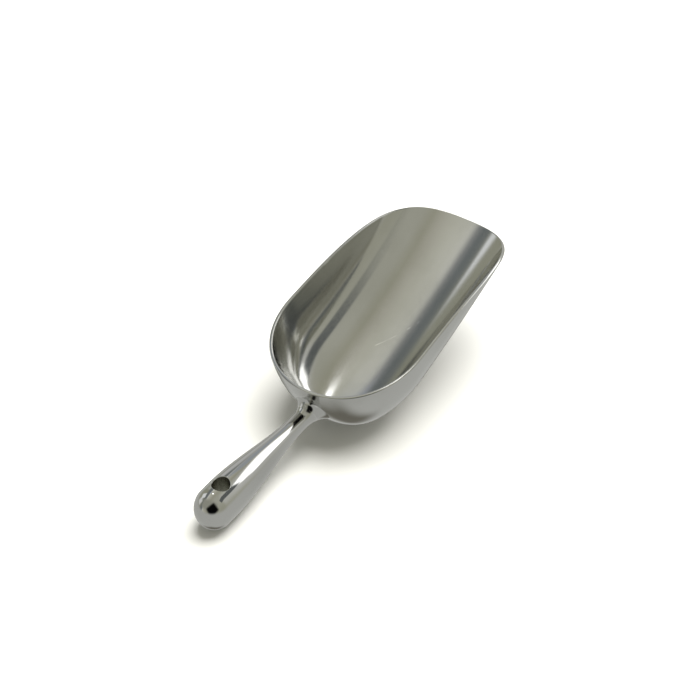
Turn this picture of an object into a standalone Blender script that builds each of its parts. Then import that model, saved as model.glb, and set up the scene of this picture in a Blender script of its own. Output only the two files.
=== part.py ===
"""Cast aluminium ice scoop: a bowl, a grip handle and the weld fillet that joins the two.

Metres, +Z up.  The scoop lies on a table (z = 0) the way its own weight leaves it, on the heel of the
bowl and on the end of the grip, with the mouth raised.  X is across, the mouth points to -Y and the
grip to +Y.

Every piece is shaped in the scoop's own frame: y = 0 is the inside of the back wall, z = 0 is the
lowest level of the inside, and y falls towards the lip.  One empty tips that frame back into the
resting pose, and a flat cut at table height leaves the worn flats that the scoop stands on.
"""
import math

import bmesh
import bpy
from mathutils import Matrix, Vector
from mathutils.bvhtree import BVHTree

# Bowl, measured on the inside
BOWL_LENGTH = 0.170
BOWL_HALF_WIDTH = 0.045
BOWL_DEPTH = 0.0494
WALL = 0.0020
RIM_EASE = 0.0006
BACK_ROUND = 0.052          # run over which the side walls close round the back, in plan
BACK_POWER = 2.13           # 2 is an ellipse, more is squarer
HEEL_ROUND = 0.022          # run over which the floor turns up into the back wall
HEEL_POWER = 2.31
SECTION_POWER = 2.73        # cross-section, between a half ellipse and a box
TAPER = 0.04                # how much wider the back is than the lip, as a share of the width
DEEPEST_AT = 0.049          # distance of the lowest level of the floor from the back
LIP_RISE = 0.0127           # height of the lip above that level
RIM_FALL = 0.30             # steady fall of the rim over the bowl's length, as a share of its depth
RIM_SWEEP_POWER = 3.85      # how late the rim sweeps down to the lip

# Handle
HANDLE_LENGTH = 0.104       # from the inside of the back wall to the end of the grip
HANDLE_LEVEL = 0.0262       # height of its axis at the back wall
NECK_RADIUS = 0.0059        # half heights; half widths are HANDLE_FLATNESS times these
GRIP_RADIUS = 0.0135
HANDLE_FLATNESS = 0.86
NECK_AT = 0.012             # where the swell towards the grip starts
GRIP_AT = 0.085             # where the grip is full
DOME_LENGTH = 0.0125
HANG_HOLE_RADIUS = 0.0053
HANG_HOLE_FROM_END = 0.0195

# Weld fillet between the neck and the back wall
FOOT_HALF_WIDTH = 0.0115
FOOT_HALF_HEIGHT = 0.0125
FOOT_BITE = math.radians(28)    # angle at which the fillet's skirt meets the wall
FILLET_SHARE = 0.5              # the outer share of the flare is weld metal, the rest is the handle
ROOT_OVERRUN = 0.03             # how far the root runs on through the wall before it is trimmed

# Resting pose
TIP_BACK = math.radians(18.1)
HEEL_FLAT = 0.00045         # depth worn off the heel and off the grip where they touch the table
GRIP_FLAT = 0.00025
GAP = 0.0003                # clearance between pieces that touch

# Fineness of the faceted solids
RIM_STEPS = 72
WALL_STEPS = 15
RING_STEPS = 32
GRIP_RINGS = 20
DOME_RINGS = 7
FLARE_RINGS = 8
HOLE_STEPS = 32

POLE = 0.075                # distance of the floor's centre of rings from the back
ARC_SAMPLES = 4000


def clear_scene():
    """Removes whatever the scene holds."""
    for item in list(bpy.data.objects):
        bpy.data.objects.remove(item, do_unlink=True)


def new_collection(name):
    group = bpy.data.collections.new(name)
    bpy.context.scene.collection.children.link(group)
    return group


def metal(name, colour, roughness):
    """A bare aluminium finish."""
    finish = bpy.data.materials.new(name)
    finish.use_nodes = True
    shader = finish.node_tree.nodes["Principled BSDF"]
    shader.inputs["Base Color"].default_value = (*colour, 1.0)
    shader.inputs["Metallic"].default_value = 1.0
    shader.inputs["Roughness"].default_value = roughness
    return finish


def add_object(name, mesh_data, group, parent=None):
    """Wraps a bmesh in a named object and frees it."""
    mesh = bpy.data.meshes.new(name)
    mesh_data.to_mesh(mesh)
    mesh_data.free()
    item = bpy.data.objects.new(name, mesh)
    item.parent = parent
    group.objects.link(item)
    return item


def make_cutter(item):
    item.hide_render = True
    item.display_type = "WIRE"


def cut(item, cutter, name):
    """Takes the cutter's volume off the item."""
    step = item.modifiers.new(name, "BOOLEAN")
    step.operation = "DIFFERENCE"
    step.solver = "EXACT"
    step.object = cutter


def shade(item, finish):
    item.data.materials.append(finish)
    item.data.shade_smooth()
    item.data.set_sharp_from_angle(angle=math.radians(40))


# Bowl ------------------------------------------------------------------------------------------

def half_width(back):
    """Half width of the bowl at the level of the rim, at a distance from the back."""
    share = min(back / BACK_ROUND, 1.0)
    closing = (1 - (1 - share) ** BACK_POWER) ** (1 / BACK_POWER)
    taper = 1 + TAPER * (1 - back / BOWL_LENGTH)
    return BOWL_HALF_WIDTH * taper * closing


def depth(back):
    """Depth of the centre line under the level of the rim's highest point."""
    lift = LIP_RISE * ((back - DEEPEST_AT) / (BOWL_LENGTH - DEEPEST_AT)) ** 2
    share = min(back / HEEL_ROUND, 1.0)
    heel = (1 - (1 - share) ** HEEL_POWER) ** (1 / HEEL_POWER)
    return (BOWL_DEPTH - lift) * heel


def rim_level(back):
    """Height of the rim: a slow steady fall, then a sweep down to the lip."""
    share = back / BOWL_LENGTH
    sweep = 1 - RIM_FALL - LIP_RISE / BOWL_DEPTH
    return BOWL_DEPTH * (1 - RIM_FALL * share - sweep * share ** RIM_SWEEP_POWER)


def rim_half_width(back):
    """Half width of the bowl where the falling rim crosses its section."""
    deep = depth(back)
    if deep <= 0:
        return 0.0
    share = min((BOWL_DEPTH - rim_level(back)) / deep, 1.0)
    return half_width(back) * (1 - share ** SECTION_POWER) ** (1 / SECTION_POWER)


def inside_level(across, back):
    """Height of the inside surface at a point of the plan."""
    wide = half_width(back)
    if wide <= 0:
        return BOWL_DEPTH
    share = min(abs(across) / wide, 1.0)
    return BOWL_DEPTH - depth(back) * (1 - share ** SECTION_POWER) ** (1 / SECTION_POWER)


def spread(points, count):
    """Evenly spaced points along a line of points, both ends included."""
    lengths = [0.0]
    for start, end in zip(points, points[1:]):
        lengths.append(lengths[-1] + (end - start).length)
    spaced = []
    index = 0
    for step in range(count + 1):
        target = lengths[-1] * step / count
        while index < len(points) - 2 and lengths[index + 1] < target:
            index += 1
        run = lengths[index + 1] - lengths[index]
        share = (target - lengths[index]) / run if run else 0.0
        spaced.append(points[index].lerp(points[index + 1], share))
    return spaced


def rim_points():
    """The rim as evenly spaced points, from the back round the +X side to the lip and home."""
    side = []
    for step in range(ARC_SAMPLES + 1):
        back = BOWL_LENGTH * 0.5 * (1 - math.cos(math.pi * step / ARC_SAMPLES))
        side.append(Vector((rim_half_width(back), -back, rim_level(back))))
    half = spread(side, RIM_STEPS // 2)
    return half + [Vector((-point.x, point.y, point.z)) for point in half[-2:0:-1]]


def wall_line(rim_point):
    """Evenly spaced points down the inside, from the rim to the middle of the floor."""
    line = [rim_point]
    for step in range(1, ARC_SAMPLES + 1):
        share = 1 - (step / ARC_SAMPLES) ** 3
        across = rim_point.x * share
        back = POLE + (-rim_point.y - POLE) * share
        line.append(Vector((across, -back, inside_level(across, back))))
    return spread(line, WALL_STEPS)


def bowl_sheet():
    """The inside surface: a grid wrapped round the rim and gathered at the middle of the floor."""
    sheet = bmesh.new()
    bmesh.ops.create_grid(sheet, x_segments=RIM_STEPS, y_segments=WALL_STEPS, size=1.0)
    sheet.verts.ensure_lookup_table()
    lines = [wall_line(point) for point in rim_points()]
    for vert in sheet.verts:
        round_step = round((vert.co.x + 1) / 2 * RIM_STEPS) % RIM_STEPS
        down_step = round((vert.co.y + 1) / 2 * WALL_STEPS)
        vert.co = lines[round_step][down_step]
    bmesh.ops.remove_doubles(sheet, verts=sheet.verts, dist=1e-6)
    bmesh.ops.dissolve_degenerate(sheet, edges=sheet.edges, dist=1e-7)
    bmesh.ops.recalc_face_normals(sheet, faces=sheet.faces)
    sheet.normal_update()
    middle = min(sheet.verts, key=lambda vert: (vert.co - Vector((0, -POLE, 0))).length)
    if middle.normal.z > 0:
        bmesh.ops.reverse_faces(sheet, faces=sheet.faces)
    sheet.normal_update()
    return sheet


def offset_sheet(distance):
    """The bowl's surface moved outwards by a distance."""
    sheet = bowl_sheet()
    moved = [vert.co + vert.normal * distance for vert in sheet.verts]
    for vert, place in zip(sheet.verts, moved):
        vert.co = place
    return sheet


def make_bowl(group, parent):
    """The bowl: its inside surface thickened outwards, with the rim's edges eased."""
    bowl = add_object("bowl", bowl_sheet(), group, parent)
    shell = bowl.modifiers.new("wall", "SOLIDIFY")
    shell.thickness = WALL
    shell.offset = 1.0
    shell.use_even_offset = True
    rounded = bowl.modifiers.new("rim edge", "BEVEL")
    rounded.width = RIM_EASE
    rounded.segments = 2
    rounded.limit_method = "ANGLE"
    rounded.angle_limit = math.radians(60)
    return bowl


def make_plug(group, parent):
    """A solid that fills the bowl, wall and clearance included: it trims what meets the back."""
    plug = offset_sheet(WALL + GAP)
    edge = [item for item in plug.edges if item.is_boundary]
    raised = bmesh.ops.extrude_edge_only(plug, edges=edge)["geom"]
    for vert in raised:
        if isinstance(vert, bmesh.types.BMVert):
            vert.co.z = BOWL_DEPTH * 1.5
    top = [item for item in plug.edges if item.is_boundary]
    bmesh.ops.contextual_create(plug, geom=top)
    bmesh.ops.recalc_face_normals(plug, faces=plug.faces)
    item = add_object("plug_cutter", plug, group, parent)
    make_cutter(item)
    return item


# Handle ----------------------------------------------------------------------------------------

def grip_radius(along):
    """Half height of the handle at a distance along its axis."""
    share = min(max((along - NECK_AT) / (GRIP_AT - NECK_AT), 0.0), 1.0)
    swell = share * share * (3 - 2 * share)
    left = (HANDLE_LENGTH - along) / DOME_LENGTH
    dome = math.sqrt(max(1 - (1 - left) ** 2, 0.0)) if left < 1 else 1.0
    return (NECK_RADIUS + (GRIP_RADIUS - NECK_RADIUS) * swell) * dome


def grip_stations():
    """Distances along the axis of the handle's rings, from the neck to just short of its end."""
    full = HANDLE_LENGTH - DOME_LENGTH
    stations = [NECK_AT + (full - NECK_AT) * step / GRIP_RINGS for step in range(GRIP_RINGS + 1)]
    for step in range(1, DOME_RINGS):
        turn = math.pi / 2 * step / DOME_RINGS
        stations.append(full + DOME_LENGTH * math.sin(turn))
    return stations


def tipped(point):
    """A point of the scoop's frame, turned into the resting pose but not yet lifted."""
    return Matrix.Rotation(-TIP_BACK, 3, "X") @ point


def handle_rise(table):
    """Angle of the handle in the scoop's frame that puts its grip on the table."""
    low, high = 0.0, math.radians(40)
    for _ in range(40):
        rise = (low + high) / 2
        along = Vector((0, math.cos(rise), math.sin(rise)))
        below = Vector((0, math.sin(rise), -math.cos(rise)))
        root = Vector((0, 0, HANDLE_LEVEL))
        lowest = min(tipped(root + along * station + below * grip_radius(station)).z
                     for station in grip_stations())
        if lowest < table - GRIP_FLAT:
            low = rise
        else:
            high = rise
    return rise


class Axis:
    """The handle's axis: places points by distance along, across and above it."""

    def __init__(self, rise):
        self.rise = rise
        self.root = Vector((0, 0, HANDLE_LEVEL))
        self.along = Vector((0, math.cos(rise), math.sin(rise)))
        self.above = Vector((0, -math.sin(rise), math.cos(rise)))

    def point(self, along, across=0.0, above=0.0):
        return self.root + self.along * along + Vector((across, 0, 0)) + self.above * above

    def ring(self, along, radius):
        return [self.point(along, radius * HANDLE_FLATNESS * math.cos(turn), radius * math.sin(turn))
                for turn in ring_turns()]


def ring_turns():
    return [2 * math.pi * step / RING_STEPS for step in range(RING_STEPS)]


class Flare:
    """The surface that sweeps from the neck out to the back wall, as one curve for each turn."""

    def __init__(self, axis):
        self.axis = axis
        outside = offset_sheet(WALL)
        self.wall = BVHTree.FromBMesh(outside)
        outside.free()
        start = axis.point(HANDLE_LENGTH * 0.5)
        self.centre, self.normal, _, _ = self.wall.ray_cast(start, -axis.along)
        if self.normal.dot(axis.along) < 0:
            self.normal.negate()
        self.up = self.normal.cross(Vector((1, 0, 0))).normalized()
        if self.up.z < 0:
            self.up.negate()

    def foot(self, turn):
        """Where a curve ends on the wall, and the direction in which it arrives."""
        outwards = Vector((math.cos(turn), 0, 0)) + self.up * math.sin(turn)
        reach = Vector((FOOT_HALF_WIDTH * math.cos(turn), 0, 0))
        reach += self.up * FOOT_HALF_HEIGHT * math.sin(turn)
        above = self.centre + reach + self.normal * ROOT_OVERRUN
        seat, _, _, _ = self.wall.ray_cast(above, -self.normal)
        arrival = outwards * math.cos(FOOT_BITE) - self.normal * math.sin(FOOT_BITE)
        return seat, arrival

    def point(self, turn, share):
        """A point on the curve of one turn: 0 at the neck, 1 on the wall."""
        radius = grip_radius(NECK_AT)
        across = radius * HANDLE_FLATNESS * math.cos(turn)
        start = self.axis.point(NECK_AT, across, radius * math.sin(turn))
        end, arrival = self.foot(turn)
        pull = (end - start).length
        leave = -self.axis.along * pull
        arrive = arrival * pull
        return ((2 * share ** 3 - 3 * share ** 2 + 1) * start + (share ** 3 - 2 * share ** 2 + share) * leave
                + (3 * share ** 2 - 2 * share ** 3) * end + (share ** 3 - share ** 2) * arrive)

    def ring(self, share):
        return [self.point(turn, share) for turn in ring_turns()]


def skin(rings, closed):
    """Skins a stack of rings with quads.  A closed stack is a tube round a hole, else it is capped."""
    body = bmesh.new()
    rows = [[body.verts.new(point) for point in ring] for ring in rings]
    pairs = list(zip(rows, rows[1:]))
    if closed:
        pairs.append((rows[-1], rows[0]))
    for lower, upper in pairs:
        for step in range(RING_STEPS):
            after = (step + 1) % RING_STEPS
            body.faces.new((lower[step], lower[after], upper[after], upper[step]))
    if not closed:
        body.faces.new(rows[0])
        body.faces.new(rows[-1])
    bmesh.ops.recalc_face_normals(body, faces=body.faces)
    return body


def make_handle(group, parent, axis, flare, plug):
    """The handle: its root seated on the wall, the first part of the flare, the neck and the grip."""
    seam = flare.ring(1 - FILLET_SHARE)
    buried = [point - axis.along * ROOT_OVERRUN for point in seam]
    rings = [buried, seam]
    for step in range(FLARE_RINGS // 2 - 1, -1, -1):
        rings.append(flare.ring((1 - FILLET_SHARE) * step / (FLARE_RINGS // 2)))
    for station in grip_stations()[1:]:
        rings.append(axis.ring(station, grip_radius(station)))
    body = skin(rings, closed=False)
    handle = add_object("handle", body, group, parent)
    cut(handle, plug, "seat on the wall")
    return handle


def make_fillet(group, parent, axis, flare, plug):
    """Weld metal round the handle's root: the outer part of the flare, trimmed to the wall."""
    outer = []
    for step in range(FLARE_RINGS // 2 + 1):
        outer.append(flare.ring(1 - FILLET_SHARE + FILLET_SHARE * step / (FLARE_RINGS // 2)))
    root = flare.ring(1 - FILLET_SHARE)
    middle = sum(root, Vector()) / len(root)
    bore = []
    for point in root:
        away = point - middle
        away -= axis.along * away.dot(axis.along)
        bore.append(point + away.normalized() * GAP)
    overrun = axis.along * ROOT_OVERRUN
    rings = [bore] + outer[1:]
    rings.append([point - overrun for point in outer[-1]])
    rings.append([point - overrun for point in bore])
    body = skin(rings, closed=True)
    fillet = add_object("weld_fillet", body, group, parent)
    cut(fillet, plug, "seat on the wall")
    return fillet


def make_hang_hole(group, parent, axis):
    """A pin that bores the hang hole square to the handle."""
    tool = bmesh.new()
    bmesh.ops.create_cone(tool, cap_ends=True, segments=HOLE_STEPS, radius1=HANG_HOLE_RADIUS,
                          radius2=HANG_HOLE_RADIUS, depth=GRIP_RADIUS * 3)
    item = add_object("hang_hole_cutter", tool, group, parent)
    item.location = axis.point(HANDLE_LENGTH - HANG_HOLE_FROM_END)
    item.rotation_euler = (axis.rise, 0, 0)
    make_cutter(item)
    return item


def make_table_cutter(group):
    """A block whose top is the table: it leaves the flats that the scoop stands on."""
    tool = bmesh.new()
    bmesh.ops.create_cube(tool, size=1.0)
    item = add_object("table_cutter", tool, group)
    item.location = (0, 0, -0.5)
    make_cutter(item)
    return item


def lowest_outside():
    """Height of the lowest point of the bowl's outside in the tipped frame."""
    outside = offset_sheet(WALL)
    lowest = min(tipped(vert.co).z for vert in outside.verts)
    outside.free()
    return lowest


def centre_lengthways(pose, pieces):
    """Moves the pose so that the scoop's length is centred on the origin."""
    bpy.context.view_layer.update()
    graph = bpy.context.evaluated_depsgraph_get()
    reach = []
    for piece in pieces:
        solid = piece.evaluated_get(graph)
        reach += [(solid.matrix_world @ vert.co).y for vert in solid.data.vertices]
    pose.location.y -= (min(reach) + max(reach)) / 2


def main():
    clear_scene()
    scoop = new_collection("ice_scoop")
    cutters = new_collection("cutters")
    pose = bpy.data.objects.new("resting_pose", None)
    scoop.objects.link(pose)
    pose.rotation_euler = (-TIP_BACK, 0, 0)

    table = lowest_outside() + HEEL_FLAT
    pose.location.z = -table
    axis = Axis(handle_rise(table))
    flare = Flare(axis)
    plug = make_plug(cutters, pose)
    table_cutter = make_table_cutter(cutters)
    hang_hole = make_hang_hole(cutters, pose, axis)

    bowl = make_bowl(scoop, pose)
    cut(bowl, table_cutter, "worn heel")
    handle = make_handle(scoop, pose, axis, flare, plug)
    cut(handle, hang_hole, "hang hole")
    cut(handle, table_cutter, "worn grip end")
    fillet = make_fillet(scoop, pose, axis, flare, plug)

    shade(bowl, metal("polished bowl", (0.62, 0.62, 0.59), 0.16))
    shade(handle, metal("polished handle", (0.68, 0.68, 0.65), 0.10))
    shade(fillet, metal("dressed weld", (0.64, 0.64, 0.61), 0.14))
    centre_lengthways(pose, (bowl, handle, fillet))


main()
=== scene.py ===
"""Studio model of a polished cast aluminium ice scoop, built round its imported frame.

The scoop is three pieces: the cast bowl, the cast handle and the dressed weld fillet between them.
Each is shaped in the scoop's own frame, where y = 0 is the inside of the back wall, z = 0 is the
lowest level of the inside and y falls towards the lip, and is then laid back on its heel and grip.
"""
from __future__ import annotations

import logging
import math
from dataclasses import dataclass, field
from enum import Enum
from typing import Callable

import bpy
import numpy as np
from mathutils import Matrix, Vector
from mathutils.bvhtree import BVHTree


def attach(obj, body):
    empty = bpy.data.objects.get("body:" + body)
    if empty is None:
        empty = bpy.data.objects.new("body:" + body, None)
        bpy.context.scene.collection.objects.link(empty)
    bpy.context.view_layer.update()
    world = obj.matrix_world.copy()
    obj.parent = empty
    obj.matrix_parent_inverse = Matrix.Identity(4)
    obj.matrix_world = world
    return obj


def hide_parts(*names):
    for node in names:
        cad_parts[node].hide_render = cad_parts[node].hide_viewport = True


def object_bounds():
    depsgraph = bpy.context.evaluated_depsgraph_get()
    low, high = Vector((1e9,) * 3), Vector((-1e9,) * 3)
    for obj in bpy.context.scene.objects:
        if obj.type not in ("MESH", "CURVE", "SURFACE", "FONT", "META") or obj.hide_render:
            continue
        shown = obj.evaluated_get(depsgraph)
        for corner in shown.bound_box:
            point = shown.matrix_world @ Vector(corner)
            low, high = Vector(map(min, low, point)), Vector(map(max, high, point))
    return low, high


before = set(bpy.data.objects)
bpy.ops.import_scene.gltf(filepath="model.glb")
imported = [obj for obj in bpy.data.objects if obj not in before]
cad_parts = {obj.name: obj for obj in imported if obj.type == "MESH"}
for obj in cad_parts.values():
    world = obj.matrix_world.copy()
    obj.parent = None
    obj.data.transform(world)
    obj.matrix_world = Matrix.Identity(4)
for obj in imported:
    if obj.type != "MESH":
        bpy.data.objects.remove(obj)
CAD_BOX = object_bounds()

LOG = logging.getLogger("ice_scoop")
MM = 0.001
SAME_POINT = 0.002 * MM
CUT_TOLERANCE = 0.0001 * MM
CREASE_DEGREES = 35.0


class Slot(Enum):
    """The record's material slots."""

    BOWL = "bowl_metal"
    HANDLE = "handle_metal"
    WELD = "weld_metal"


# Modelling helpers -------------------------------------------------------------------------------

def deselect() -> None:
    """Clears the selection, so that an operator acts only on what is picked next."""
    bpy.ops.object.select_all(action="DESELECT")


def pick(item: bpy.types.Object) -> None:
    """Makes one object the selected and active one.

    Args:
        item: The object to pick.
    """
    deselect()
    item.select_set(True)
    bpy.context.view_layer.objects.active = item


def wrapped_grid(name: str, rows: np.ndarray, round_rows: bool) -> bpy.types.Object:
    """Adds a grid and wraps it round a stack of rings.

    Args:
        name: The new object's name.
        rows: Points of the rings, as an array of rings by points by three coordinates.
        round_rows: Whether the last ring joins the first, as on a solid ring.

    Returns:
        The wrapped mesh, its seams merged and its faces pointing out.
    """
    rings, around = rows.shape[:2]
    along = rings if round_rows else rings - 1
    deselect()
    bpy.ops.mesh.primitive_grid_add(x_subdivisions=around, y_subdivisions=along, size=2.0)
    item = bpy.context.object
    item.name = name
    item.data.name = name
    flat = np.empty(len(item.data.vertices) * 3)
    item.data.vertices.foreach_get("co", flat)
    flat = flat.reshape(-1, 3)
    turn = np.rint((flat[:, 0] + 1) / 2 * around).astype(int) % around
    ring = np.rint((flat[:, 1] + 1) / 2 * along).astype(int) % rings
    item.data.vertices.foreach_set("co", rows[ring, turn].ravel())
    bpy.ops.object.mode_set(mode="EDIT")
    bpy.ops.mesh.select_all(action="SELECT")
    bpy.ops.mesh.remove_doubles(threshold=SAME_POINT)
    bpy.ops.mesh.normals_make_consistent(inside=False)
    bpy.ops.object.mode_set(mode="OBJECT")
    return item


def apply_modifier(item: bpy.types.Object, name: str, kind: str, **settings: object) -> None:
    """Adds a modifier and applies it.

    Args:
        item: The object to change.
        name: The modifier's name.
        kind: The modifier's type.
        **settings: Values for the modifier's own properties.
    """
    pick(item)
    step = item.modifiers.new(name, kind)
    for key, value in settings.items():
        setattr(step, key, value)
    bpy.ops.object.modifier_apply(modifier=step.name)


def wear_flat(item: bpy.types.Object) -> None:
    """Cuts away what reaches under the table, and closes the cut with a flat.

    Args:
        item: The object, in its resting place.
    """
    pick(item)
    bpy.ops.object.mode_set(mode="EDIT")
    bpy.ops.mesh.select_all(action="SELECT")
    bpy.ops.mesh.bisect(plane_co=(0, 0, 0), plane_no=(0, 0, 1), use_fill=True, clear_inner=True,
                        threshold=CUT_TOLERANCE)
    bpy.ops.object.mode_set(mode="OBJECT")


def shade_round(item: bpy.types.Object, crease: float) -> None:
    """Shades a piece smooth, apart from edges sharper than an angle.

    Args:
        item: The object to shade.
        crease: The angle, in degrees.
    """
    pick(item)
    bpy.ops.object.shade_smooth_by_angle(angle=math.radians(crease))


# Shape -------------------------------------------------------------------------------------------

@dataclass
class BowlForm:
    """The inside surface of the bowl, as a height over each point of its plan.

    Its section and its closing back are curves of |x| ** power + |y| ** power = 1, between an
    ellipse (2) and a box, and distances run from the inside of the back wall towards the lip.
    """

    length: float = 170 * MM
    half_width: float = 45 * MM
    deep: float = 49.4 * MM
    wall: float = 2.0 * MM
    back_round: float = 52 * MM
    back_power: float = 2.13
    heel_round: float = 22 * MM
    heel_power: float = 2.31
    section_power: float = 2.73
    taper: float = 0.04
    deepest_at: float = 49 * MM
    lip_rise: float = 12.7 * MM
    rim_fall: float = 0.30
    rim_sweep_power: float = 3.85
    middle_at: float = 75 * MM
    gathering: int = 3
    samples: int = 3000

    def width_at(self, back: np.ndarray) -> np.ndarray:
        """Half width at the level of the rim, at distances from the back."""
        share = np.minimum(back / self.back_round, 1.0)
        closing = (1 - (1 - share) ** self.back_power) ** (1 / self.back_power)
        return self.half_width * (1 + self.taper * (1 - back / self.length)) * closing

    def depth_at(self, back: np.ndarray) -> np.ndarray:
        """Depth of the centre line under the rim's highest level, at distances from the back."""
        lift = self.lip_rise * ((back - self.deepest_at) / (self.length - self.deepest_at)) ** 2
        share = np.minimum(back / self.heel_round, 1.0)
        heel = (1 - (1 - share) ** self.heel_power) ** (1 / self.heel_power)
        return (self.deep - lift) * heel

    def rim_level(self, back: np.ndarray) -> np.ndarray:
        """Height of the rim: a slow steady fall, then a sweep down to the lip."""
        share = back / self.length
        sweep = 1 - self.rim_fall - self.lip_rise / self.deep
        return self.deep * (1 - self.rim_fall * share - sweep * share ** self.rim_sweep_power)

    def rim_half_width(self, back: np.ndarray) -> np.ndarray:
        """Half width where the falling rim crosses the section, at distances from the back."""
        below = self.deep - self.rim_level(back)
        share = np.clip(below / np.maximum(self.depth_at(back), 1e-9), 0, 1)
        return self.width_at(back) * (1 - share ** self.section_power) ** (1 / self.section_power)

    def inside_level(self, across: np.ndarray, back: np.ndarray) -> np.ndarray:
        """Height of the inside surface over points of the plan."""
        share = np.clip(np.abs(across) / np.maximum(self.width_at(back), 1e-9), 0, 1)
        drop = (1 - share ** self.section_power) ** (1 / self.section_power)
        return self.deep - self.depth_at(back) * drop

    def evenly(self, curve: Callable[[np.ndarray], np.ndarray], count: int) -> np.ndarray:
        """Picks evenly spaced points of a curve.

        Args:
            curve: Gives the points for values from 0 to 1.
            count: How many steps the curve is divided into.

        Returns:
            The points, both ends included.
        """
        values = np.linspace(0, 1, self.samples + 1)
        steps = np.linalg.norm(np.diff(curve(values), axis=0), axis=1)
        run = np.concatenate([[0.0], np.cumsum(steps)])
        return curve(np.interp(np.linspace(0, run[-1], count + 1), run, values))

    def rim(self, steps: int) -> np.ndarray:
        """The rim as evenly spaced points, from the back round the +X side to the lip and home."""
        def side(values: np.ndarray) -> np.ndarray:
            """Points on the +X side of the rim, from the back (0) to the lip (1)."""
            back = self.length * 0.5 * (1 - np.cos(np.pi * values))
            return np.stack([self.rim_half_width(back), -back, self.rim_level(back)], axis=-1)

        half = self.evenly(side, steps // 2)
        return np.concatenate([half, half[-2:0:-1] * (-1, 1, 1)])

    def rings(self, around: int, down: int) -> np.ndarray:
        """The inside surface as rings, from the rim down to the middle of the floor.

        Args:
            around: Points in a ring.
            down: Steps from the rim to the middle.

        Returns:
            An array of rings by points by three coordinates.
        """
        lines = []
        for across, lengthways, level in self.rim(around):
            def fall(values: np.ndarray, across=across, lengthways=lengthways) -> np.ndarray:
                """Points on the inside surface, from the rim (0) to the middle of the floor (1)."""
                share = 1 - values ** self.gathering
                back = self.middle_at + (-lengthways - self.middle_at) * share
                level_in = self.inside_level(across * share, back)
                return np.stack([across * share, -back, level_in], axis=-1)

            line = self.evenly(fall, down)
            line[0, 2] = level
            lines.append(line)
        return np.stack(lines, axis=1)


@dataclass
class Rest:
    """How the scoop lies: tipped back until the heel and the grip touch the table."""

    tip_back: float = math.radians(18.1)
    heel_flat: float = 0.45 * MM
    grip_flat: float = 0.25 * MM

    def turn(self) -> Matrix:
        """The turn from the scoop's own frame to its resting pose."""
        return Matrix.Rotation(-self.tip_back, 3, "X")


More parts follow.
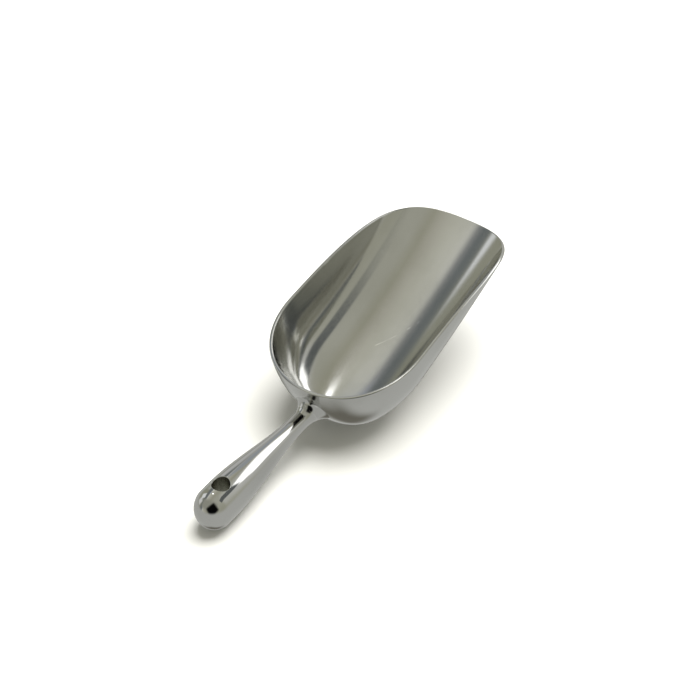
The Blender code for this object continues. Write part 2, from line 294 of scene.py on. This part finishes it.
@dataclass
class HandleForm:
    """The handle: a narrow neck that swells to a grip with a domed end."""

    length: float = 104 * MM
    level: float = 26.2 * MM
    neck_radius: float = 5.9 * MM
    grip_radius: float = 13.5 * MM
    flatness: float = 0.86
    neck_at: float = 12 * MM
    grip_at: float = 85 * MM
    dome_length: float = 12.5 * MM
    hole_radius: float = 5.3 * MM
    hole_from_end: float = 19.5 * MM
    hole_ease: float = 0.6 * MM
    hole_ease_start: float = 0.17
    hole_clearance: float = 5 * MM
    root_bury: float = 5 * MM
    steepest: float = math.radians(40)
    settling_steps: int = 40
    rise: float = 0.0

    def radius(self, along: float) -> float:
        """Half height at a distance along the axis."""
        share = min(max((along - self.neck_at) / (self.grip_at - self.neck_at), 0.0), 1.0)
        swell = share * share * (3 - 2 * share)
        left = (self.length - along) / self.dome_length
        dome = math.sqrt(max(1 - (1 - left) ** 2, 0.0)) if left < 1 else 1.0
        return (self.neck_radius + (self.grip_radius - self.neck_radius) * swell) * dome

    def stations(self, grip: int, dome: int) -> list[float]:
        """Distances of the rings along the axis, from the neck to the very end.

        Args:
            grip: Steps from the neck to the start of the dome.
            dome: Steps over the dome.

        Returns:
            The distances, in metres.
        """
        full = self.length - self.dome_length
        straight = [self.neck_at + (full - self.neck_at) * step / grip for step in range(grip + 1)]
        turns = [math.pi / 2 * step / dome for step in range(1, dome + 1)]
        return straight + [full + self.dome_length * math.sin(turn) for turn in turns]

    def settle(self, rest: Rest, table: float) -> None:
        """Raises the handle to the angle at which its grip just touches the table.

        Args:
            rest: The resting pose.
            table: The table's level in the tipped frame.
        """
        low, high = 0.0, self.steepest
        turn = rest.turn()
        for _ in range(self.settling_steps):
            self.rise = (low + high) / 2
            lowest = min((turn @ self.point(station, 0, -self.radius(station))).z
                         for station in self.stations(40, 20))
            if lowest < table - rest.grip_flat:
                low = self.rise
            else:
                high = self.rise

    def along(self) -> Vector:
        """The axis's direction, from the bowl to the grip's end."""
        return Vector((0, math.cos(self.rise), math.sin(self.rise)))

    def above(self) -> Vector:
        """The direction square to the axis, away from the table."""
        return Vector((0, -math.sin(self.rise), math.cos(self.rise)))

    def point(self, along: float, across: float = 0.0, above: float = 0.0) -> Vector:
        """A point placed along, across and above the axis."""
        root = Vector((0, 0, self.level))
        return root + self.along() * along + Vector((across, 0, 0)) + self.above() * above

    def half_height(self, along: float, across: float) -> float:
        """Height of the surface over the axis's plane, at a place along and across the handle."""
        radius = self.radius(along)
        return radius * math.sqrt(max(1 - (across / (radius * self.flatness)) ** 2, 0.0))

    def hole_rings(self, around: int, easing: int) -> np.ndarray:
        """Rings of the hang hole's cutter, its edges eased where they meet the surface.

        Args:
            around: Points in a ring.
            easing: Steps over the eased edge.

        Returns:
            An array of rings by points by three coordinates, from above the handle to under it.
        """
        centre = self.length - self.hole_from_end
        start = self.hole_ease_start
        shares = [start + (1 - start) * step / easing for step in range(easing + 1)]
        half = [(0.0, None), (shares[0], None)] + [(share, 0) for share in shares]
        steps = [(1, *step) for step in half] + [(-1, *step) for step in reversed(half)]
        rows = []
        for place, (side, share, surface) in enumerate(steps):
            turn = math.pi / 2 * share
            radius = self.hole_radius + self.hole_ease * (1 - math.sin(turn))
            if place in (0, len(steps) - 1):
                radius = 0.0
            row = []
            for angle in np.linspace(0, 2 * np.pi, around, endpoint=False):
                along, across = centre + radius * math.sin(angle), radius * math.cos(angle)
                if surface is None:
                    level = self.grip_radius + self.hole_clearance
                else:
                    level = self.half_height(along, across) - self.hole_ease * (1 - math.cos(turn))
                row.append(self.point(along, across, side * level))
            rows.append(row)
        return np.array(rows)

    def ring(self, along: float, turns: np.ndarray) -> np.ndarray:
        """A ring of points round the handle at a distance along its axis."""
        radius = self.radius(along)
        return np.array([self.point(along, radius * self.flatness * math.cos(turn),
                                    radius * math.sin(turn)) for turn in turns])


@dataclass
class FlareForm:
    """The sweep from the neck out to the back wall: the handle's half first, then the weld's."""

    half_width: float = 11.5 * MM
    half_height: float = 12.5 * MM
    bite: float = math.radians(28)
    fillet_share: float = 0.5
    fillet_bury: float = 3 * MM
    fillet_foot_bury: float = 1.2 * MM
    reach: float = 30 * MM

    def lay(self, handle: HandleForm, wall: BVHTree) -> None:
        """Finds the foot's centre, its normal and its upward direction on the wall.

        Args:
            handle: The handle that the flare belongs to.
            wall: The outside of the bowl.
        """
        self.handle = handle
        self.wall = wall
        middle = handle.point(handle.length / 2)
        self.centre, self.normal, _, _ = wall.ray_cast(middle, -handle.along())
        if self.normal.dot(handle.along()) < 0:
            self.normal.negate()
        self.up = self.normal.cross(Vector((1, 0, 0))).normalized()
        if self.up.z < 0:
            self.up.negate()

    def foot(self, turn: float) -> tuple[Vector, Vector]:
        """Where the curve of one turn ends on the wall, and the direction in which it arrives."""
        outwards = Vector((math.cos(turn), 0, 0)) + self.up * math.sin(turn)
        out = Vector((self.half_width * math.cos(turn), 0, 0))
        out += self.up * self.half_height * math.sin(turn)
        seat, _, _, _ = self.wall.ray_cast(self.centre + out + self.normal * self.reach, -self.normal)
        return seat, outwards * math.cos(self.bite) - self.normal * math.sin(self.bite)

    def point(self, turn: float, share: float) -> Vector:
        """A point on the curve of one turn: 0 at the neck, 1 on the wall."""
        handle = self.handle
        radius = handle.radius(handle.neck_at)
        start = handle.point(handle.neck_at, radius * handle.flatness * math.cos(turn),
                             radius * math.sin(turn))
        end, arrival = self.foot(turn)
        pull = (end - start).length
        return (start * (2 * share ** 3 - 3 * share ** 2 + 1)
                - handle.along() * pull * (share ** 3 - 2 * share ** 2 + share)
                + end * (3 * share ** 2 - 2 * share ** 3)
                + arrival * pull * (share ** 3 - share ** 2))

    def ring(self, share: float, turns: np.ndarray) -> np.ndarray:
        """A ring of points round the flare."""
        return np.array([self.point(turn, share) for turn in turns])


# Materials ---------------------------------------------------------------------------------------

def linear(hex_colour: str) -> tuple[float, float, float, float]:
    """Turns an sRGB hex colour into linear red, green, blue and alpha."""
    parts = [int(hex_colour[place:place + 2], 16) / 255 for place in (1, 3, 5)]
    red, green, blue = (part / 12.92 if part <= 0.04045 else ((part + 0.055) / 1.055) ** 2.4
                        for part in parts)
    return red, green, blue, 1.0


def add_node(tree: bpy.types.NodeTree, kind: str, inputs: dict | None = None,
             **settings: object) -> bpy.types.Node:
    """Adds a node with its settings, values and links.

    Args:
        tree: The node tree.
        kind: The node's type name.
        inputs: Socket names or numbers, with a value or the output socket to link from.
        **settings: Values for the node's own properties.

    Returns:
        The new node.
    """
    node = tree.nodes.new(kind)
    for key, value in settings.items():
        setattr(node, key, value)
    for socket, value in (inputs or {}).items():
        if isinstance(value, bpy.types.NodeSocket):
            tree.links.new(value, node.inputs[socket])
        else:
            node.inputs[socket].default_value = value
    return node


def spread(tree: bpy.types.NodeTree, value: bpy.types.NodeSocket, low: float, high: float,
           out_low: float, out_high: float) -> bpy.types.NodeSocket:
    """Stretches part of a value's range to a new range, softly at both ends.

    Args:
        tree: The node tree.
        value: The value to stretch.
        low: Where the range starts.
        high: Where the range ends.
        out_low: What the start becomes.
        out_high: What the end becomes.

    Returns:
        The stretched value.
    """
    node = add_node(tree, "ShaderNodeMapRange", {"Value": value, "From Min": low, "From Max": high,
                                                 "To Min": out_low, "To Max": out_high},
                    interpolation_type="SMOOTHSTEP")
    return node.outputs["Result"]


@dataclass(frozen=True)
class BuffedAluminium:
    """Bare cast aluminium, belt-ground along its length and buffed on a wheel."""

    name: str
    colour: str
    film: str
    # Colour of worn edges, lighter than the rest as a painted highlight on the rim.
    worn_highlight: str
    roughness: float
    line_gap: float = 0.9 * MM
    line_run: float = 60 * MM
    line_height: float = 0.0022 * MM
    scratch_gap: float = 1.3 * MM
    scratch_run: float = 12 * MM
    scratch_height: float = 0.00025 * MM
    ripple_length: float = 21 * MM
    ripple_height: float = 0.022 * MM
    film_patch: float = 34 * MM
    lines_turn: float = 0.0
    line_swing: float = 0.02
    film_dulling: float = 0.018
    scratch_dulling: float = 0.015
    worn_shine: float = 0.02
    offset: tuple[float, float, float] = (0.37, 0.19, 0.73)

    def pattern(self, tree: bpy.types.NodeTree, gap: float, run: float, turn: float,
                detail: float) -> bpy.types.NodeSocket:
        """Noise stretched into lines.

        Args:
            tree: The material's node tree.
            gap: Distance between lines, in metres.
            run: Length of a line, in metres.
            turn: How far the lines are turned from the scoop's length, in degrees.
            detail: How many finer layers the noise has.

        Returns:
            The pattern's strength, about 0.5 on average.
        """
        place = add_node(tree, "ShaderNodeTexCoord").outputs["Object"]
        laid = add_node(tree, "ShaderNodeMapping", {
            "Vector": place, "Location": self.offset, "Rotation": (0, 0, math.radians(turn)),
            "Scale": (gap, run, gap)}, vector_type="TEXTURE").outputs["Vector"]
        return add_node(tree, "ShaderNodeTexNoise", {
            "Vector": laid, "Scale": 1.0, "Detail": detail}).outputs["Fac"]

    def build(self) -> bpy.types.Material:
        """Makes the material."""
        finish = bpy.data.materials.new(self.name)
        finish.use_nodes = True
        tree = finish.node_tree
        shader = tree.nodes["Principled BSDF"]
        # Belt lines: real ones lie a tenth of a millimetre apart, and are drawn coarser to show.
        lines = self.pattern(tree, self.line_gap, self.line_run, self.lines_turn, 3.0)
        # Handling scratches, sparse and in two slanting directions.
        one_way = self.pattern(tree, self.scratch_gap, self.scratch_run, 24.0, 4.0)
        other_way = self.pattern(tree, self.scratch_gap * 1.3, self.scratch_run, -37.0, 4.0)
        first = spread(tree, one_way, 0.60, 0.74, 0.0, 1.0)
        second = spread(tree, other_way, 0.61, 0.75, 0.0, 1.0)
        scratches = add_node(tree, "ShaderNodeMath", {0: first, 1: second},
                             operation="MAXIMUM").outputs["Value"]
        # The wheel never leaves a true surface: a slow ripple bends the reflections.
        ripple = self.pattern(tree, self.ripple_length, self.ripple_length * 2.5, 8.0, 1.0)
        # The oxide film grows in patches, a little greyer and duller than fresh metal.
        patches = self.pattern(tree, self.film_patch, self.film_patch * 1.6, 15.0, 5.0)
        film = spread(tree, patches, 0.35, 0.68, 0.0, 1.0)
        # Edges that rub in the bin stay smoother, and their colour is lightened there as a painted highlight
        # along the rim and other sharp edges.
        corner = add_node(tree, "ShaderNodeNewGeometry").outputs["Pointiness"]
        edge_wear_and_highlight = spread(tree, corner, 0.53, 0.62, 0.0, 1.0)

        filmed = add_node(tree, "ShaderNodeMix", {"Factor": film, 6: linear(self.colour),
                                                  7: linear(self.film)}, data_type="RGBA")
        # Lighter colour on sharp edges: a painted highlight, where the edges are also worn smooth.
        highlighted_edges = add_node(tree, "ShaderNodeMix", {"Factor": edge_wear_and_highlight, 6: filmed.outputs[2],
                                                  7: linear(self.worn_highlight)}, data_type="RGBA")
        tree.links.new(highlighted_edges.outputs[2], shader.inputs["Base Color"])
        shader.inputs["Metallic"].default_value = 1.0

        # Every mark changes the shine a little, and only a little: the metal stays a mirror.
        dull = spread(tree, lines, 0.3, 0.7, self.roughness - self.line_swing,
                      self.roughness + self.line_swing)
        dull = add_node(tree, "ShaderNodeMath", {0: film, 1: self.film_dulling, 2: dull},
                        operation="MULTIPLY_ADD").outputs["Value"]
        dull = add_node(tree, "ShaderNodeMath", {0: scratches, 1: self.scratch_dulling, 2: dull},
                        operation="MULTIPLY_ADD").outputs["Value"]
        dull = add_node(tree, "ShaderNodeMath", {0: edge_wear_and_highlight, 1: -self.worn_shine, 2: dull},
                        operation="MULTIPLY_ADD", use_clamp=True).outputs["Value"]
        tree.links.new(dull, shader.inputs["Roughness"])

        slow = add_node(tree, "ShaderNodeBump", {"Height": ripple, "Distance": self.ripple_height})
        fine = add_node(tree, "ShaderNodeBump", {"Height": lines, "Distance": self.line_height,
                                                 "Normal": slow.outputs["Normal"]})
        cut = add_node(tree, "ShaderNodeBump", {"Height": scratches, "Distance": self.scratch_height,
                                                "Normal": fine.outputs["Normal"]}, invert=True)
        tree.links.new(cut.outputs["Normal"], shader.inputs["Normal"])
        return finish


# The bowl's inside is hard to reach with a wheel, so its belt lines still show lengthways.
BOWL_FINISH = BuffedAluminium("belt-ground and buffed cast aluminium", "#CBCBC8", "#C3C3BF",
                              "#E2E2DF", 0.12)
# The handle turns freely against the wheel, so it shows the room most sharply.
HANDLE_FINISH = BuffedAluminium("wheel-buffed cast aluminium", "#CACAC7", "#C3C3C0", "#E2E2DF", 0.06,
                                line_height=0.0009 * MM, ripple_height=0.012 * MM)
# The hang hole is only drilled, so its wall stays rough, and its darker colour is painted shade inside the
# hole.
SHADED_BORE_FINISH = BuffedAluminium("drilled cast aluminium", "#ABABA1", "#9B9B91", "#BDBDB5", 0.28,
                              line_run=0.9 * MM)
# The fillet is dressed by hand across the neck, with shorter lines and a slightly softer shine.
WELD_FINISH = BuffedAluminium("hand-dressed weld aluminium", "#C8C8C5", "#C1C1BE", "#E2E2DF", 0.07,
                              line_run=14 * MM, lines_turn=70.0, ripple_height=0.016 * MM)


# Pieces ------------------------------------------------------------------------------------------

@dataclass
class Scoop:
    """The whole scoop: its forms, its resting pose and its three pieces."""

    bowl_form: BowlForm = field(default_factory=BowlForm)
    handle_form: HandleForm = field(default_factory=HandleForm)
    flare: FlareForm = field(default_factory=FlareForm)
    rest: Rest = field(default_factory=Rest)
    around_bowl: int = 320
    down_bowl: int = 110
    around_handle: int = 96
    around_hole: int = 96
    hole_easing: int = 6
    rim_round: float = 0.46
    rim_segments: int = 4
    rim_angle: float = math.radians(60)
    bore_margin: float = 1.02
    flare_rings: int = 40
    grip_rings: int = 110
    dome_rings: int = 24

    def make_bowl(self) -> bpy.types.Object:
        """The bowl: its inside surface, thickened outwards, with a rounded rim."""
        form = self.bowl_form
        bowl = wrapped_grid("bowl_shell", form.rings(self.around_bowl, self.down_bowl), False)
        middle = min(bowl.data.vertices, key=lambda vert: (vert.co - Vector((0, -form.middle_at, 0))).length)
        if middle.normal.z > 0:
            pick(bowl)
            bpy.ops.object.mode_set(mode="EDIT")
            bpy.ops.mesh.select_all(action="SELECT")
            bpy.ops.mesh.flip_normals()
            bpy.ops.object.mode_set(mode="OBJECT")
        apply_modifier(bowl, "wall", "SOLIDIFY", thickness=form.wall, offset=1.0, use_even_offset=True)
        self.find_wall(bowl)
        apply_modifier(bowl, "rim", "BEVEL", width=form.wall * self.rim_round,
                       segments=self.rim_segments, limit_method="ANGLE", angle_limit=self.rim_angle)
        return bowl

    def find_wall(self, bowl: bpy.types.Object) -> None:
        """Settles the handle and lays the flare on the outside of the bowl."""
        bpy.context.view_layer.update()
        graph = bpy.context.evaluated_depsgraph_get()
        turn = self.rest.turn()
        self.table = min((turn @ vert.co).z for vert in bowl.data.vertices) + self.rest.heel_flat
        self.handle_form.settle(self.rest, self.table)
        self.flare.lay(self.handle_form, BVHTree.FromObject(bowl, graph))

    def turns(self) -> np.ndarray:
        """The angles of a ring's points."""
        return np.linspace(0, 2 * np.pi, self.around_handle, endpoint=False)

    def make_handle(self) -> bpy.types.Object:
        """The handle: a root buried in the wall, the first part of the flare, neck and grip."""
        form, flare, turns = self.handle_form, self.flare, self.turns()
        seam = 1 - flare.fillet_share
        first = flare.ring(seam, turns)
        shares = [seam * step / self.flare_rings for step in range(self.flare_rings, 0, -1)]
        inwards = np.array(form.along()) * form.root_bury
        rows = [np.repeat((first - inwards).mean(axis=0, keepdims=True), len(turns), axis=0)]
        rows.append(first - inwards)
        rows += [flare.ring(share, turns) for share in shares]
        rows += [form.ring(station, turns) for station in form.stations(self.grip_rings, self.dome_rings)]
        handle = wrapped_grid("handle_casting", np.stack(rows), False)
        cutter = wrapped_grid("hang_hole_cutter", form.hole_rings(self.around_hole, self.hole_easing), False)
        apply_modifier(handle, "hang_hole", "BOOLEAN", operation="DIFFERENCE", solver="EXACT",
                       object=cutter)
        bpy.data.objects.remove(cutter)
        # Faces of the hole's wall take the darker finish: painted shade inside the hole.
        centre = form.point(form.length - form.hole_from_end)
        for face in handle.data.polygons:
            place = Vector(face.center) - centre
            if math.hypot(place.x, place.dot(form.along())) < form.hole_radius * self.bore_margin:
                face.material_index = 1
        return handle

    def make_fillet(self) -> bpy.types.Object:
        """The weld fillet: a solid ring, from the handle's root out to the wall."""
        form, flare, turns = self.handle_form, self.flare, self.turns()
        seam = 1 - flare.fillet_share
        shares = [seam + flare.fillet_share * step / self.flare_rings
                  for step in range(self.flare_rings + 1)]
        rows = [flare.ring(share, turns) for share in shares]
        inwards = np.array(form.along())
        rows.append(rows[-1] - inwards * flare.fillet_foot_bury)
        rows.append(rows[0] - inwards * flare.fillet_bury)
        return wrapped_grid("weld_bead", np.stack(rows), True)

    def lay_down(self, pieces: list[bpy.types.Object]) -> None:
        """Lays the pieces on the table and brings them to the frame's own box.

        Args:
            pieces: Every piece of the scoop.
        """
        tip = self.rest.turn().to_4x4()
        drop = Matrix.Translation((0, 0, -self.table))
        for piece in pieces:
            piece.data.transform(drop @ tip)
        places = np.array([vert.co for piece in pieces for vert in piece.data.vertices])
        low, high = places.min(axis=0), places.max(axis=0)
        cad_low, cad_high = np.array(CAD_BOX[0]), np.array(CAD_BOX[1])
        centre = Matrix.Translation((0, -(low[1] + high[1]) / 2, 0))
        fit = (cad_high - cad_low) / (high - (low[0], low[1], 0.0))
        LOG.info("fit to the frame: %s", np.round(fit, 4))
        grow = Matrix.Diagonal((*np.minimum(fit, 1.0), 1.0))
        for piece in pieces:
            piece.data.transform(grow @ centre)

    def build(self) -> None:
        """Builds, dresses and places every piece."""
        bowl = self.make_bowl()
        handle = self.make_handle()
        fillet = self.make_fillet()
        self.lay_down([bowl, handle, fillet])
        for piece in (bowl, handle):
            wear_flat(piece)
        for piece, node, slot, finish in (
                (bowl, "bowl", Slot.BOWL, BOWL_FINISH),
                (handle, "handle", Slot.HANDLE, HANDLE_FINISH),
                (fillet, "weld_fillet", Slot.WELD, WELD_FINISH)):
            shade_round(piece, CREASE_DEGREES)
            piece.data.materials.append(finish.build())
            if piece is handle:
                # The darker bore finish is painted shade inside the hang hole.
                piece.data.materials.append(SHADED_BORE_FINISH.build())
            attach(piece, "root")
            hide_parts(node)
            lowest = min(vert.co.z for vert in piece.data.vertices)
            LOG.info("%s: %d faces, lowest %.5f", piece.name, len(piece.data.polygons), lowest)


@dataclass(frozen=True)
class Panel:
    """A lit or a dark panel round the set, which the metal shows as a patch or a streak."""

    towards: tuple[float, float, float]
    half_width: float
    half_height: float
    soft: float
    colour: str
    power: float = 1.0
    turn: float = 0.0
    horizon: float = 0.05

    def cover(self, tree: bpy.types.NodeTree, look: bpy.types.NodeSocket) -> bpy.types.NodeSocket:
        """How much of the panel lies in each direction.

        Args:
            tree: The world's node tree.
            look: The direction.

        Returns:
            1 on the panel and 0 off it, with soft edges between.
        """
        ahead = Vector(self.towards).normalized()
        right = Vector((ahead.y, -ahead.x, 0)).normalized() if ahead.xy.length else Vector((1, 0, 0))
        right = Matrix.Rotation(math.radians(self.turn), 3, ahead) @ right
        up = right.cross(ahead)

        def along(axis: Vector) -> bpy.types.NodeSocket:
            """How far the direction reaches along an axis."""
            return add_node(tree, "ShaderNodeVectorMath", {0: look, 1: axis},
                            operation="DOT_PRODUCT").outputs["Value"]

        depth = along(ahead)
        whole = spread(tree, depth, 0.0, self.horizon, 0.0, 1.0)
        for axis, half in ((right, self.half_width), (up, self.half_height)):
            offset = add_node(tree, "ShaderNodeMath", {0: along(axis), 1: depth}, operation="DIVIDE")
            away = add_node(tree, "ShaderNodeMath", {0: offset.outputs["Value"]}, operation="ABSOLUTE")
            edge = spread(tree, away.outputs["Value"], half - self.soft, half + self.soft, 1.0, 0.0)
            whole = add_node(tree, "ShaderNodeMath", {0: whole, 1: edge},
                             operation="MULTIPLY").outputs["Value"]
        return whole


@dataclass
class Studio:
    """Floor, lights and camera.

    Polished metal shows its surroundings, so the world is a light ceiling with panels hung in it.
    """

    azimuth: float = 215.59
    elevation: float = 40.54
    distance: float = 1.0907
    lens: float = 88.91
    target: tuple[float, float, float] = (0.02622, -0.04386, 0.0)
    floor_size: float = 60.0
    floor_paint: str = "#EBEAE5"
    floor_roughness: float = 0.9
    floor_sheen: float = 0.1
    world_power: float = 0.69
    softbox_power: float = 4.7
    softbox_spread: float = 56.0
    softbox_from: tuple[float, float, float] = (0.0, -0.44, 0.88)
    # Across the set from -X to +X: the place of each diffuser's edge, its colour and brightness.
    ceiling: tuple[tuple[float, str, float], ...] = (
        (-1.0, "#CECEBC", 1.0), (-0.88, "#D6D6C6", 1.0), (-0.72, "#DEDED0", 1.0),
        (-0.3, "#DCDCCE", 1.0), (0.0, "#CFCEBB", 1.0), (0.2, "#E5E3D4", 1.0),
        (0.4, "#F9F9EA", 1.0), (0.46, "#FFFFF6", 1.16), (0.515, "#B0B2B3", 1.0),
        (0.6, "#8C9395", 1.0), (0.69, "#979C9B", 1.0), (0.77, "#BCBDAC", 1.0),
        (1.0, "#C8C8B6", 1.0))
    panels: tuple[Panel, ...] = (
        # The room behind the grip, the pale wall before the lip, and its lighter -X half.
        Panel((-0.1, 0.75, 0.62), 1.1, 0.5, 0.25, "#C4C4B8"),
        Panel((0.0, -0.85, 0.3), 1.2, 0.4, 0.22, "#F0F0EA"),
        Panel((-0.45, -0.65, 0.5), 0.5, 0.4, 0.25, "#FAFAF6"),
        # A cool window, the main diffuser and its side wing.
        Panel((0.30, -0.65, 0.69), 0.18, 0.16, 0.06, "#D0D6DC"),
        Panel((-0.30, -0.70, 0.62), 0.42, 0.18, 0.04, "#FFFFFF", 3.2),
        Panel((-0.57, -0.70, 0.43), 0.11, 0.09, 0.03, "#FFFFFF", 3.2),
        # A spotlight overhead, and the cool edge of its shade.
        Panel((0.25, -0.205, 0.945), 0.065, 0.045, 0.01, "#FFFFFF", 5.5, -42.0),
        Panel((0.47, -0.21, 0.86), 0.09, 0.05, 0.015, "#D6DCEA", 1.0, -57.0),
        # Pale walls on the +X side.
        Panel((0.76, -0.58, 0.3), 0.14, 0.2, 0.08, "#FFFFFF", 0.95),
        Panel((0.90, 0.37, 0.24), 0.2, 0.2, 0.08, "#FFFFFF", 1.2),
        # A grey screen, a bright card across from it, and the dark place where the viewer stands.
        Panel((-0.66, -0.325, 0.68), 0.23, 0.16, 0.035, "#7C8080"),
        Panel((0.84, 0.1, 0.5), 0.19, 0.2, 0.04, "#FBFDFF", 1.45),
        Panel((-0.50, 0.78, 0.34), 0.55, 0.50, 0.16, "#101010", 1.0, 38.0))
    # Under the set: the table's own glow, and the shade close round the scoop.
    table_glow: str = "#E6E7E3"
    glow_full_at: float = -0.16
    glow_ends_at: float = 0.12
    shades: tuple[Panel, ...] = (
        Panel((0.12, -0.05, -1.0), 0.26, 0.26, 0.14, "#8F8C82"),
        Panel((0.50, -0.60, -0.62), 0.3, 0.22, 0.12, "#96968C"))

    def build(self) -> None:
        """Builds the studio."""
        self.build_floor()
        self.build_world()
        self.build_softbox()
        self.place_camera()

    def build_floor(self) -> None:
        """Lays a matt white floor."""
        deselect()
        bpy.ops.mesh.primitive_plane_add(size=self.floor_size)
        floor = bpy.context.object
        floor.name = "studio_floor"
        paint = bpy.data.materials.new("matt white floor")
        paint.use_nodes = True
        shader = paint.node_tree.nodes["Principled BSDF"]
        shader.inputs["Base Color"].default_value = linear(self.floor_paint)
        shader.inputs["Roughness"].default_value = self.floor_roughness
        shader.inputs["Specular IOR Level"].default_value = self.floor_sheen
        floor.data.materials.append(paint)
        floor.visible_glossy = False

    def build_world(self) -> None:
        """Hangs the diffusers and panels that the metal shows."""
        world = bpy.data.worlds.new("studio")
        world.use_nodes = True
        tree = world.node_tree
        look = add_node(tree, "ShaderNodeTexCoord").outputs["Generated"]
        across = add_node(tree, "ShaderNodeSeparateXYZ", {"Vector": look}).outputs["X"]
        place = add_node(tree, "ShaderNodeMath", {0: across, 1: 0.5, 2: 0.5}, operation="MULTIPLY_ADD")
        ramp = add_node(tree, "ShaderNodeValToRGB", {"Fac": place.outputs["Value"]})
        stops = ramp.color_ramp.elements
        while len(stops) < len(self.ceiling):
            stops.new(0.5)
        for stop, (edge, colour, power) in zip(stops, self.ceiling):
            stop.position = (edge + 1) / 2
            stop.color = [part * power for part in linear(colour)[:3]] + [1.0]
        light = self.hang(tree, look, ramp.outputs["Color"], self.panels)
        height = add_node(tree, "ShaderNodeSeparateXYZ", {"Vector": look}).outputs["Z"]
        under = spread(tree, height, self.glow_full_at, self.glow_ends_at, 1.0, 0.0)
        light = add_node(tree, "ShaderNodeMix", {"Factor": under, 6: light, 7: linear(self.table_glow)},
                         data_type="RGBA").outputs[2]
        light = self.hang(tree, look, light, self.shades)
        tree.links.new(light, tree.nodes["Background"].inputs["Color"])
        tree.nodes["Background"].inputs["Strength"].default_value = self.world_power
        bpy.context.scene.world = world

    def hang(self, tree: bpy.types.NodeTree, look: bpy.types.NodeSocket, light: bpy.types.NodeSocket,
             panels: tuple[Panel, ...]) -> bpy.types.NodeSocket:
        """Lays panels over the light that comes from each direction.

        Args:
            tree: The world's node tree.
            look: The direction.
            light: The light without the panels.
            panels: The panels, the nearest last.

        Returns:
            The light with the panels.
        """
        for panel in panels:
            shine = [part * panel.power for part in linear(panel.colour)[:3]] + [1.0]
            cover = panel.cover(tree, look)
            light = add_node(tree, "ShaderNodeMix", {"Factor": cover, 6: light, 7: shine},
                             data_type="RGBA", clamp_result=False).outputs[2]
        return light

    def build_softbox(self) -> None:
        """Hangs the overhead diffuser, which lights the table evenly and leaves no patch in the metal."""
        light = bpy.data.lights.new("softbox", "SUN")
        light.energy = self.softbox_power
        light.angle = math.radians(self.softbox_spread)
        lamp = bpy.data.objects.new("softbox", light)
        lamp.rotation_euler = Vector(self.softbox_from).to_track_quat("Z", "Y").to_euler()
        lamp.visible_glossy = False
        bpy.context.scene.collection.objects.link(lamp)

    def place_camera(self) -> None:
        """Places the camera behind and above the handle."""
        camera = bpy.data.objects.new("camera", bpy.data.cameras.new("camera"))
        camera.data.lens = self.lens
        turn, rise = math.radians(self.azimuth), math.radians(self.elevation)
        back = Vector((math.sin(turn) * math.cos(rise), -math.cos(turn) * math.cos(rise), math.sin(rise)))
        camera.location = Vector(self.target) + back * self.distance
        camera.rotation_euler = back.to_track_quat("Z", "Y").to_euler()
        bpy.context.scene.collection.objects.link(camera)
        bpy.context.scene.camera = camera


def main() -> None:
    """Builds the scoop and its studio."""
    logging.basicConfig(level=logging.INFO)
    Scoop().build()
    Studio().build()
    bpy.context.scene.view_settings.view_transform = "Standard"


if __name__ == "__main__":
    main()
